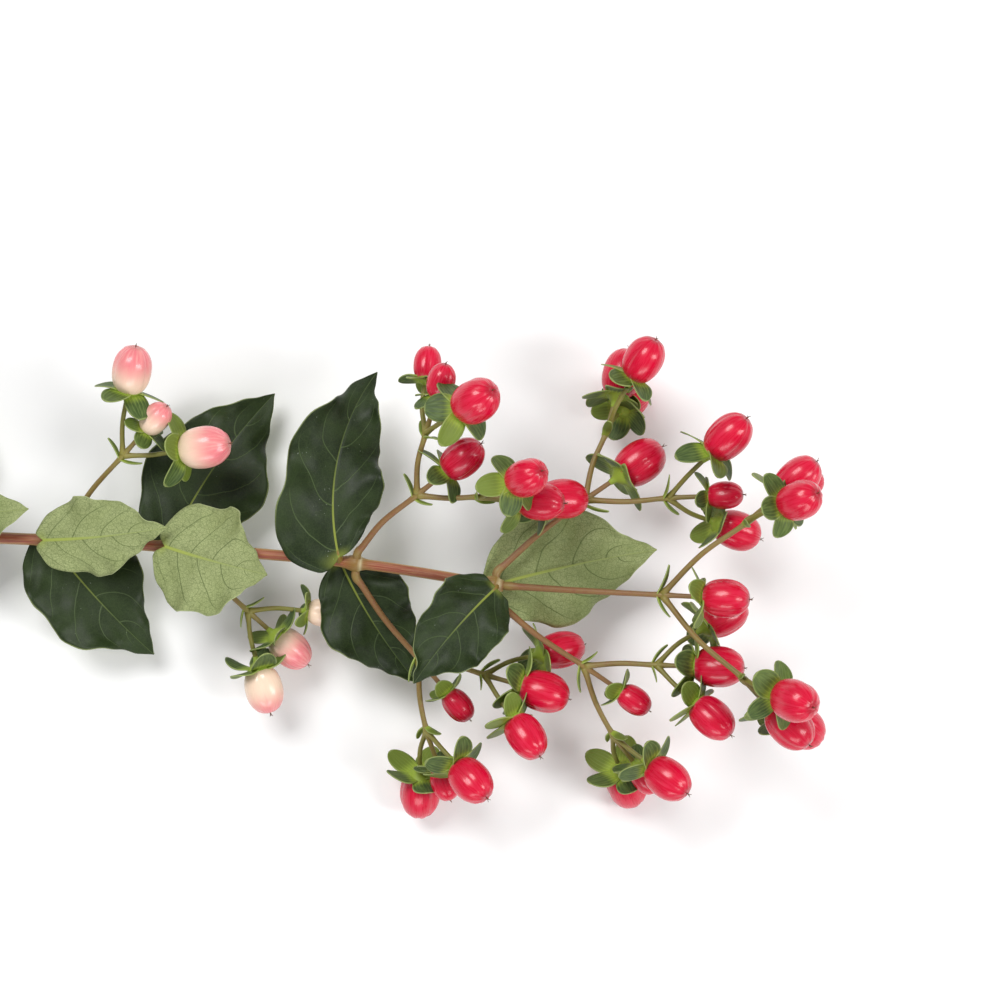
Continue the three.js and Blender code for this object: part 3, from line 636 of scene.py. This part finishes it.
def blade_points(leaf, s, u):
    """Points of a blade's middle surface, with its half width and its upward direction there."""
    centre, _ = stem_at(leaf["node"] - LEAF_SEAT)
    lift = leaf["side"] * (NODE_RADIUS + GAP + LEAF_SOLID / 2)
    point = np.array(centre + Vector((0, leaf["across"], lift))) + np.zeros((*s.shape, 3))
    for i in range(MIDRIB_STEPS):
        t = s * (i + 0.5) / MIDRIB_STEPS
        ahead = ways(leaf["heading"] + leaf["sweep"] * t, leaf["pitch"] - leaf["droop"] * t)
        point = point + ahead * (s * leaf["length"] / MIDRIB_STEPS)[..., None]
    along = ways(leaf["heading"] + leaf["sweep"] * s, leaf["pitch"] - leaf["droop"] * s)
    level = np.cross(np.array(UP), along)
    level /= np.linalg.norm(level, axis=-1)[..., None]
    upright = np.cross(along, level)
    roll = np.radians(leaf["roll"] * smooth(s / ROLL_END))[..., None]
    left = level * np.cos(roll) + upright * np.sin(roll)
    over = upright * np.cos(roll) - level * np.sin(roll)

    # half width, with the base's corners and the tip rounded off
    heel = np.where(u > 0, leaf.get("heel", 0), 0)
    lobe = leaf["lobe"] + heel * HEEL_DROP
    lobe_fade = (1 - s) ** LOBE_FADE
    heart = np.clip(lobe, 0, 1)
    corner = 1 - (CORNER_CUT + HEART_CUT * heart) * np.clip(1 - s / CORNER_END, 0, 1) ** 2
    past = np.clip(s - TIP_START, 0, TIP_END - TIP_START) / (TIP_END - TIP_START + 0.001)
    calm = smooth(s / CALM_BASE) * smooth((1 - s) / CALM_TIP)
    phase = 2 * np.pi * leaf["waves"] * s + leaf["phase"] + np.where(u > 0, MARGIN_LAG, 0)
    scallop = 1 + MARGIN_SCALLOP * calm * np.cos(phase)
    reach = leaf["width"] / 2 * outline(s) * (1 + heel * lobe_fade) * corner
    reach = reach * np.sqrt(1 - past ** 2) * scallop

    # the halves fold up, their margins wave, and the base reaches back
    fold = math.tan(math.radians(leaf["fold"])) * smooth(s / FOLD_END)
    rise = reach * np.abs(u) ** FOLD_CURVE * fold + leaf["wave"] * u * u * calm * np.sin(phase)
    back = lobe * u * u * lobe_fade
    bulge = 4 * np.abs(u) * (1 - np.abs(u)) * np.clip(1 - s / BASE_LOBE_END, 0, 1) ** 2
    back = back + BASE_LOBE * heart * bulge
    point = point + left * (reach * u)[..., None] + over * rise[..., None] - along * back[..., None]
    above = point[..., 2] - LEAF_FLOOR
    point[..., 2] = LEAF_FLOOR + (above + np.sqrt(above ** 2 + FLOOR_SOFTNESS ** 2)) / 2
    return point, reach, over


def make_leaf(leaf, tone):
    t = np.linspace(0, 1, BLADE_ROWS + 1)
    t = t - ROW_CROWDING * np.sin(2 * np.pi * t) / (2 * np.pi)
    half = np.linspace(-1, 1, BLADE_COLUMNS + 1)
    s, u = np.meshgrid(t, np.sign(half) * np.abs(half) ** COLUMN_CROWDING, indexing="ij")
    s = s * TIP_END
    points, reach, over = blade_points(leaf, s, u)
    at = np.clip(s, STEP, LAST_SLOPE)
    lengthways = blade_points(leaf, at + STEP, u)[0] - blade_points(leaf, at - STEP, u)[0]
    across = blade_points(leaf, at, u + STEP)[0] - blade_points(leaf, at, u - STEP)[0]
    normal = np.cross(lengthways, across)
    facing = np.where(np.sum(normal * over, axis=-1) < 0, -1, 1)
    normal *= (facing / np.linalg.norm(normal, axis=-1))[..., None]

    # what the faces add to the middle surface: midrib, swelling between the side veins, fine ripples
    aside = np.abs(u)
    away = aside * reach
    slender = 1 - RIB_TAPER * s
    rib = np.exp(-(away / (RIB_HALF * slender)) ** 2)
    veins = VEIN_COUNT * (s - VEIN_SWEEP * aside ** VEIN_ARCH) + np.where(u > 0, VEIN_STAGGER, 0)
    fade = smooth(away / QUILT_START) * smooth((1 - aside) / QUILT_MARGIN) * smooth((1 - s) / QUILT_MARGIN)
    swell = QUILT * np.cos(2 * np.pi * veins) * fade
    thin = BLADE_THICKNESS / 2 * (1 - EDGE_THINNING * smooth((aside - 1 + EDGE_WIDTH) / EDGE_WIDTH))
    turned_over = leaf["fold"] < 0  # a twisted leaf shows its pale underside above
    sunk, raised = RIB_SUNK * rib * slender, RIB_RAISED * rib * slender ** RIB_FADE
    if turned_over:
        sunk, raised = -raised, -sunk
        swell = -swell
    fine = FINE_RIPPLE * aside ** 3 * smooth(s / FINE_END) * smooth((1 - s) / FINE_END)
    lag = np.where(u > 0, FINE_LAG, 0)
    swell = swell + fine * np.sin(2 * np.pi * FINE_WAVES * s + leaf["phase"] * 3 + lag)
    top = points + normal * (thin + swell - sunk)[..., None]
    low = points + normal * (swell - thin - raised)[..., None]

    upper, under, rim = slab_faces(*s.shape)
    slots = [0] * len(upper) + [1] * len(under) + [0] * len(rim)
    blade = np.stack([s, u], axis=-1).reshape(-1, 2)
    flat = np.stack([s * leaf["length"], u * reach], axis=-1).reshape(-1, 2) / DECIMETRE
    piece = Piece(("blade", "flat", "tone"))
    piece.add(np.stack([top, low]), upper + under + rim, slots, blade=np.tile(blade, (2, 1)),
              flat=np.tile(flat, (2, 1)), tone=(tone, 0))
    looks = [LEAF_UNDER, LEAF_UPPER] if turned_over else [LEAF_UPPER, LEAF_UNDER]
    piece.finish("blade_" + leaf["name"], looks, "leaf", "leaf_" + leaf["name"])


# -------- sprays of berries

BERRY_ROUND = 48
# distance from the calyx and radius, at full size
BERRY_SHAPE = [(-0.1, 1.2), (0.25, 2.35), (0.9, 3.2), (1.9, 3.98), (3.2, 4.5), (4.7, 4.75), (6.4, 4.8),
               (8.0, 4.6), (9.4, 4.12), (10.5, 3.42), (11.35, 2.5), (11.85, 1.6), (12.05, 0.9), (11.95, 0.45)]
STOUTNESS = (0.96, 1.03)
LOBES = 3
LOBE_DEPTH = 0.022
SUTURE_DEPTH = 0.07
SUTURE_HALF = 0.13  # radians
SUTURE_START = 2.5  # distance from the calyx by which the grooves are full
SUTURE_END = 12.4
SUTURE_FADE = 3
PUCKER_DEPTH = 0.06
PUCKER_START = 10.2
PUCKER_GROWTH = 1.2
PUCKERS = 9

STYLES = 3
STYLE_SEAT = 12  # distance from the calyx
STYLE_LENGTH = (0.6, 1.5)
STYLE_RADII = (0.12, 0.05)
STYLE_LEAN = (0.3, 0.9)
STYLE_FOOT_LEAN = 0.25
STYLE_SWERVE = 25  # degrees
STYLE_STEPS = 3
STYLE_SIDES = 6

CALYX_CONE = (-2.6, -1.2, -0.2)  # distances along the axis from the berry's base
CALYX_TOP = 0.7  # the same one for berries of all sizes
CALYX_RADII = (0.6, 0.95, 2.3, 3.1)
CALYX_STEPS = 4
CALYX_SIDES = 16
CALYX_PLACE = 0.06  # the share of a sepal's length whose colour the calyx has
CALYX_TONE = 0.4
SEPAL_SINK = 0.8  # how far a sepal starts inside the calyx
SEPAL_LENGTHS = (0.82, 1.08)
SEPAL_WIDTHS = (0.9, 1.15)
SEPAL_TILT = 12  # degrees
SEPAL_DROPS = (-0.05, 0.12)
SEPAL_CUPS = (-0.1, 0.28)
SEPAL_FOOT = 0.68
SEPAL_TIP = 1.15

SMALL_ROWS = 19  # of the grid of a sepal or bract
SMALL_COLUMNS = 11
SMALL_END = 0.992  # share of the length at which its tip is cut off
SMALL_WIDEST = 0.5
SMALL_TAPER = 0.42  # share of the length from which it narrows
SMALL_HALF_THICKNESS = 0.13
SMALL_RIB = 0.16  # height of the midrib below, and its half width as a share
SMALL_RIB_SUNK = 0.3  # share of it that is sunk above

STALK_SIDES = 12
STALK_STEPS = 12
STALK_TAPER = 0.05  # how much thinner than STALK_RADII[0] each stalk ends
JOINT_SWELL = 0.22
JOINT_REACH = 1.6  # distance over which its swelling fades
FOOT_BEND = 2.5  # distance from the bark past which a spray's stalk runs straight
# a stalk's age: where a last one starts, what a forking one gains along it, and for each fork ahead
LAST_AGE = 0.25
AGE_GAIN = 0.12
AGE_STEP = 0.3

BRACT_SIZES = (0.8, 1.2)
BRACT_HALF = 0.4  # half width, as a share of BRACT_WIDTH
BRACT_DROP = 0.12
BRACT_CUP = 0.25
BRACT_FOOT = 0.5
BRACT_TIP = 0.75
BRACT_TONES = (0.7, 1)
OWN_SEED = 1000  # on top of the spray's seed, for draws that the solids don't have


class Spray:
    """The pieces of one spray: berries with their styles, sepals with calyx and bracts, and stalks."""

    def __init__(self, spray):
        self.spray = spray
        self.unripe = spray["name"].startswith("side")
        self.berries = Piece(("round", "along"))
        self.sepals = Piece(("blade", "tone"))
        self.stalks = Piece(("round", "tone"))
        self.own = draws_from(spray["seed"] + OWN_SEED)

    def rod(self, route, radius, age, *joints):
        """A stalk along a route, a little thicker at its joints. Age: at its start and end."""
        line = through(route, STALK_STEPS)
        run = distance_along(line)
        joint = np.zeros(len(run))
        for place in joints:
            at = run[np.argmin(np.linalg.norm(line - np.array(place), axis=1))]
            joint = np.maximum(joint, np.exp(-((run - at) / JOINT_REACH) ** 2))
        end = STALK_RADII[0] - STALK_TAPER
        radii = radius + (end - radius) * run / run[-1] + JOINT_SWELL * joint
        points, faces, along, angle = tube(line, radii, STALK_SIDES)
        ages = age[0] + (age[1] - age[0]) * along / run[-1]
        near = np.interp(along, run, joint)
        self.stalks.add(points, faces, round=np.stack([along, angle], 1), tone=np.stack([ages, near], 1))

    def blade(self, root, ahead, sideways, face, length, half, drop, cup, foot, tip, tone):
        """A small leaf. Drop and cup: how much it bows along and across. Foot: its share of the width at
        the root. Tip: the higher, the later it narrows and the sharper it ends."""
        s, u = np.meshgrid(np.linspace(0, 1, SMALL_ROWS), np.linspace(-1, 1, SMALL_COLUMNS), indexing="ij")
        s = np.minimum(s, SMALL_END)
        growth = foot + (1 - foot) * np.sin(np.pi / 2 * np.minimum(s / SMALL_WIDEST, 1))
        taper = np.clip((s - SMALL_TAPER) / (1 - SMALL_TAPER), 0, 1)
        wide = half * growth * (1 - taper ** (2 * tip)) ** (0.5 * tip)
        root, ahead, sideways, face = (np.array(v) for v in (root, ahead, sideways, face))
        bow = -drop * length * s * s + cup * half * u * u * np.sin(np.pi * np.clip(s, 0.1, 1))
        points = root + ahead * (length * s)[..., None] + sideways * (u * wide)[..., None]
        points = points + face * bow[..., None]
        rib = SMALL_RIB * np.exp(-(u / SMALL_RIB) ** 2) * (1 - s)
        top = points + face * (SMALL_HALF_THICKNESS - SMALL_RIB_SUNK * rib)[..., None]
        low = points - face * (SMALL_HALF_THICKNESS + rib)[..., None]
        blade = np.tile(np.stack([s, u], axis=-1).reshape(-1, 2), (2, 1))
        self.sepals.add(np.stack([top, low]), sum(slab_faces(*s.shape), []), blade=blade, tone=(tone, 0))

    def berry(self, end, axis, side, draw):
        size = SMALL_SIZE if draw(0, 1) < SMALL_SHARE else draw(*BERRY_SIZES)
        side = turned(side, axis, draw(0, 360 / SEPALS))
        base = end + axis * CALYX_SEAT
        cross = axis.cross(side)

        # skin: three lobes with a fine groove between them, and a puckered tip
        angle = np.linspace(0, 2 * np.pi, BERRY_ROUND, endpoint=False)
        shape = through([(d, r, 0) for d, r in BERRY_SHAPE], 2)
        d, r = shape[:, 0], np.maximum(shape[:, 1], 0.1)
        body = smooth(d / SUTURE_START) * smooth((SUTURE_END - d) / SUTURE_FADE)
        off_groove = np.abs((angle * LOBES / (2 * np.pi) + 0.5) % 1 - 0.5) * 2 * np.pi / LOBES
        groove = SUTURE_DEPTH * np.exp(-(off_groove / SUTURE_HALF) ** 2)
        lobes = 1 - (groove + LOBE_DEPTH * np.cos(LOBES * angle)) * body[:, None]
        puckered = PUCKER_DEPTH * smooth((d - PUCKER_START) / PUCKER_GROWTH)
        pucker = puckered[:, None] * np.cos(PUCKERS * angle + self.own(0, 6))
        radius = r[:, None] * (lobes + pucker) * self.own(*STOUTNESS) * size
        ring = np.outer(np.cos(angle), side) + np.outer(np.sin(angle), cross)
        points = np.array(base) + np.outer(d * size, axis)[:, None] + ring * radius[..., None]
        rows = len(d)
        around = np.tile(np.stack([np.cos(angle), np.sin(angle)], 1), (rows, 1))
        tone = np.full(rows * BERRY_ROUND, self.own(0, 1))
        along = np.stack([np.repeat(d / BERRY_LENGTH, BERRY_ROUND), tone], 1)
        self.berries.add(points, tube_faces(rows, BERRY_ROUND), round=around, along=along)
        for k in range(STYLES):
            way = turned(side, axis, 360 / STYLES * k + self.own(-STYLE_SWERVE, STYLE_SWERVE))
            self.style(base + axis * (STYLE_SEAT * size), axis, way, size)

        # calyx and sepals
        cone = [base + axis * (place * size) for place in CALYX_CONE] + [base + axis * CALYX_TOP]
        line = through(cone, CALYX_STEPS)
        radii = np.interp(np.arange(len(line)) / CALYX_STEPS, range(len(cone)), CALYX_RADII) * size
        points, faces, _, _ = tube(line, radii, CALYX_SIDES)
        self.sepals.add(points, faces, blade=(CALYX_PLACE, 0), tone=(CALYX_TONE, 0))
        for k in range(SEPALS):
            outwards = turned(side, axis, 360 / SEPALS * (k + 0.75))
            spread = math.radians(draw(*SEPAL_SPREAD))
            ahead = axis * math.cos(spread) + outwards * math.sin(spread)
            length = SEPAL_LENGTH * size * draw(*SEPAL_LENGTHS) + SEPAL_SINK * size
            root = base + axis * (SEPAL_ROOT[0] * size) + outwards * ((SEPAL_ROOT[1] - SEPAL_SINK) * size)
            half = SEPAL_WIDTH * size / 2 * self.own(*SEPAL_WIDTHS)
            sideways = turned(axis.cross(outwards), ahead, self.own(-SEPAL_TILT, SEPAL_TILT))
            self.blade(root, ahead, sideways, ahead.cross(sideways), length, half,
                       SEPAL_DROP + self.own(*SEPAL_DROPS), self.own(*SEPAL_CUPS),
                       SEPAL_FOOT, SEPAL_TIP, self.own(0, 1))

    def style(self, root, axis, way, size):
        half = self.own(*STYLE_LENGTH) * size / 2
        lean = self.own(*STYLE_LEAN)
        knee = root + (axis + way * STYLE_FOOT_LEAN).normalized() * half
        line = through([root, knee, knee + (axis + way * lean).normalized() * half], STYLE_STEPS)
        points, faces, _, _ = tube(line, np.linspace(*STYLE_RADII, len(line)), STYLE_SIDES)
        self.berries.add(points, faces, 1, round=(1, 0), along=(1, 0))

    def grow(self, start, ahead, side, length, forks, draw, inside=None):
        """A stalk with all that grows from it. Inside: for the first, the place in the stem it comes from."""
        spray = self.spray
        first = forks == spray["forks"]
        bent = (ahead + towards(*spray["towards"]) * (FIRST_BEND if first else LATER_BEND)).normalized()
        across = square_to(bent, side)
        middle = start + ahead * (length / 2)
        fork = middle + bent * (length / 2)
        route = [start, middle, fork]
        if inside is not None:
            route = [inside, start, start + ahead * FOOT_BEND, middle, fork]
        if forks == 0:
            self.rod(route, STALK_RADII[0], (LAST_AGE, 0), start)
            self.berry(fork, bent, across, draw)
            return
        last = turned(bent, across, draw(-LAST_SWERVE, LAST_SWERVE))
        end = fork + last * (PEDICEL_LENGTH * draw(*PEDICEL_DRAW))
        ages = (AGE_GAIN + AGE_STEP * forks, AGE_STEP * forks)
        self.rod([*route, end], STALK_RADII[forks], ages, start, fork)
        self.berry(end, last, across, draw)
        upright = bent.cross(across)
        for hand in (-1, 1):
            bract_way = turned(bent, upright, hand * BRACT_ANGLE)
            size = draw(*BRACT_SIZES) * (spray["bract"] if first else 1)
            self.blade(fork - bent * BRACT_SETBACK, bract_way, upright, bract_way.cross(upright),
                       BRACT_LENGTH * size, BRACT_WIDTH * size * BRACT_HALF, BRACT_DROP, BRACT_CUP,
                       BRACT_FOOT, BRACT_TIP, self.own(*BRACT_TONES))
            branch = turned(bent, upright, hand * FORK_ANGLE * draw(*FORK_ANGLE_DRAW))
            plane = turned(upright, branch, hand * draw(*FORK_TWIST))
            if forks == 1:
                reach = LAST_STALK_LENGTH * draw(*LAST_STALK_DRAW)
            else:
                reach = length * FORK_SHORTENING * draw(*SHORTENING_DRAW)
            root = fork + across * (hand * STALK_RADII[forks] * FORK_SPREAD)
            self.grow(root, branch, plane, reach, forks - 1, draw)

    def build(self):
        spray = self.spray
        name = spray["name"]
        centre, along = stem_at(spray["node"])
        ahead = towards(spray["heading"], spray["pitch"])
        radius = STALK_RADII[spray["forks"]]
        if name == AT_TIP:
            start = centre + ahead * (STEM_END_CLEARANCE + GAP + radius * STALK_END_ROOM)
        else:
            bark = stem_radius(spray["node"]) if self.unripe else NODE_RADIUS
            slant = ahead.angle(along)
            foot = radius * (math.cos(slant) + STALK_FOOT_ROOM * math.sin(slant))
            start = centre + square_to(along, ahead) * (bark + GAP + foot)
        plane = turned(square_to(ahead, UP.cross(ahead)), ahead, spray["plane"])
        self.grow(start, ahead, plane, spray["length"], spray["forks"], draws_from(spray["seed"]), centre)
        skin, slot = (UNRIPE_SKIN, "unripe_berry") if self.unripe else (BERRY_SKIN, "berry")
        self.berries.finish(name + "_berries", [skin, STYLE_LOOK], slot, name)
        self.sepals.finish(name + "_sepals", [SEPAL_LOOK], "leaf", name)
        self.stalks.finish(name + "_stalks", [STALK_LOOK], "stem", name)


# -------- main stem

STEM_SIDES = 28
STEM_STEPS = 150
STEM_END = 0.6  # how far the bark goes past the upper fork
RIDGE = 0.07  # height of the ridge down each side, as a share of the radius
RIDGE_SHARPNESS = 9
WAVES = ((0.02, 4), (0.012, 9))  # heights and numbers of the low waves round the stem
NODE_STEP = 0.4  # of the finer steps at a node
NODE_BELOW = 5  # how far before it they start
NODE_ABOVE = 4
SWELL_BELOW = 2.3  # distances over which its swelling fades
SWELL_ABOVE = 1.3
NODE_TINT = 2.8  # how far its colour spreads
SCAR_SWELL = 0.42  # of a node whose leaves are gone
RING_PLACE = 0.9  # how far past a node its fine ring lies
RING_HALF = 0.35
RING_DEPTH = 0.16
RING_TINT = 0.6
FOOT_SPAN = (0.012, 0.055)  # shares of a blade's length between which its foot ends
FOOT_SINK = (0.6, 0.34)  # how far the foot lies there on the stem's side of the blade
FOOT_RADII = (1.15, 0.15)
FOOT_STEPS = 5
FOOT_TINT = 1.15  # fuller than the nodes' colour


def make_stem():
    nodes = [*SCARS, *LEAF_NODES, LOWER_FORK, UPPER_SWELLING]
    fine = [np.arange(x - NODE_BELOW, min(x + NODE_ABOVE, UPPER_FORK), NODE_STEP) for x in nodes]
    spots = np.unique(np.concatenate([np.linspace(0, UPPER_FORK + STEM_END, STEM_STEPS), *fine]))
    line = np.array([stem_at(min(x, UPPER_FORK))[0] for x in spots])
    line[-1] += np.array(stem_at(UPPER_FORK)[1]) * STEM_END
    angle = np.linspace(0, 2 * np.pi, STEM_SIDES, endpoint=False)
    section = 1 + RIDGE * np.abs(np.cos(angle)) ** RIDGE_SHARPNESS
    for height, number in WAVES:
        section = section + height * np.cos(number * angle)
    radius = stem_radius(spots)[:, None] * section
    closeness = np.zeros(len(spots))
    scar = np.zeros(len(spots))
    for x in nodes:
        past = spots - x
        full = SCAR_SWELL if x in SCARS else NODE_RADIUS - stem_radius(x)
        bulge = np.exp(-(past / np.where(past < 0, SWELL_BELOW, SWELL_ABOVE)) ** 2)
        ring = np.exp(-((past - RING_PLACE) / RING_HALF) ** 2)
        radius = radius + (full * bulge)[:, None] - (RING_DEPTH * ring)[:, None]
        closeness = np.maximum(closeness, np.exp(-(past / NODE_TINT) ** 2))
        scar = np.maximum(scar, ring * RING_TINT)
    scar[0] = 1  # the cut end
    piece = Piece(("round", "tone"))
    points, faces, run, turn = tube(line, radius, STEM_SIDES)
    tone = np.stack([np.repeat(closeness, STEM_SIDES), np.repeat(scar, STEM_SIDES)], 1)
    piece.add(points, faces, round=np.stack([run / DECIMETRE, turn], 1), tone=tone)
    # a foot for each leaf, from the stem's middle to just past the blade's base
    for leaf in LEAVES:
        seat, _ = stem_at(leaf["node"] - LEAF_SEAT)
        foot = blade_points(leaf, np.array([FOOT_SPAN]), np.zeros((1, 2)))[0][0]
        foot[:, 2] -= leaf["side"] * np.array(FOOT_SINK)
        line = through([seat, *foot], FOOT_STEPS)
        points, faces, run, turn = tube(line, np.linspace(*FOOT_RADII, len(line)), STALK_SIDES)
        piece.add(points, faces, round=np.stack([run / DECIMETRE, turn], 1), tone=(FOOT_TINT, 0))
    piece.finish("bark", [BARK_LOOK], "stem", "main_stem")


make_stem()
leaf_tones = draws_from(LEAF_SEED)
for leaf in LEAVES:
    make_leaf(leaf, leaf_tones(0, 1))
for spray in SPRAYS:
    Spray(spray).build()

# -------- floor, light and camera

FRAME_WIDTH = 235  # millimetres that the picture shows at the height of FRAME_MIDDLE
FRAME_MIDDLE = (118.6, 19.2, 26)  # what the middle of the picture shows, millimetres in the part's frame
LENS = 120
SENSOR = 36
CLIP = (0.02, 20)
FLOOR_HALF = 6
# what they point to, then where each is, its size and its power, in metres and watts
LIGHT_AIM = (0.12, 0, 0.03)
LIGHTS = {
    "top_left": ((-0.7, 1.2, 2.05), (1.32, 0.99), 43),
    "right": ((1.5, -0.22, 1.29), (0.55, 1.1), 18),
    "low_front": ((0.08, -1.76, 1.06), (1.54, 0.55), 13.5),
}
STUDIO_GLOW = 0.38


def make_floor():
    mesh = bpy.data.meshes.new("floor")
    corners = [(x * FLOOR_HALF, y * FLOOR_HALF, 0) for x, y in ((-1, -1), (1, -1), (1, 1), (-1, 1))]
    mesh.from_pydata(corners, [], [(0, 1, 2, 3)])
    mesh.materials.append(plain_shader("pale_floor", srgb(240, 240, 240), srgb(246, 246, 246), 2.0, 0.9))
    floor = add_object("floor", mesh)


def make_light(name, place, size, power):
    lamp = bpy.data.lights.new(name, "AREA")
    lamp.shape = "RECTANGLE"
    lamp.size, lamp.size_y = size
    lamp.energy = power
    light = add_object(name, lamp)
    light.location = place
    light.rotation_mode = "QUATERNION"
    light.rotation_quaternion = (Vector(LIGHT_AIM) - Vector(place)).to_track_quat("-Z", "Y")


def make_camera():
    """A camera that looks straight down."""
    data = bpy.data.cameras.new("camera")
    data.lens = LENS
    data.sensor_width = SENSOR
    data.clip_start, data.clip_end = CLIP
    camera = add_object("camera", data)
    distance = FRAME_WIDTH * LENS / SENSOR
    camera.location = (Vector(FRAME_MIDDLE) + UP * distance) * MM
    bpy.context.scene.camera = camera


def make_world():
    world = bpy.data.worlds.new("studio")
    bpy.context.scene.world = world
    world.use_nodes = True
    background = world.node_tree.nodes["Background"]
    background.inputs["Color"].default_value = (1, 1, 1, 1)
    background.inputs["Strength"].default_value = STUDIO_GLOW


make_floor()
make_camera()
for name, (place, size, power) in LIGHTS.items():
    make_light(name, place, size, power)
make_world()
bpy.context.scene.view_settings.view_transform = "Standard"
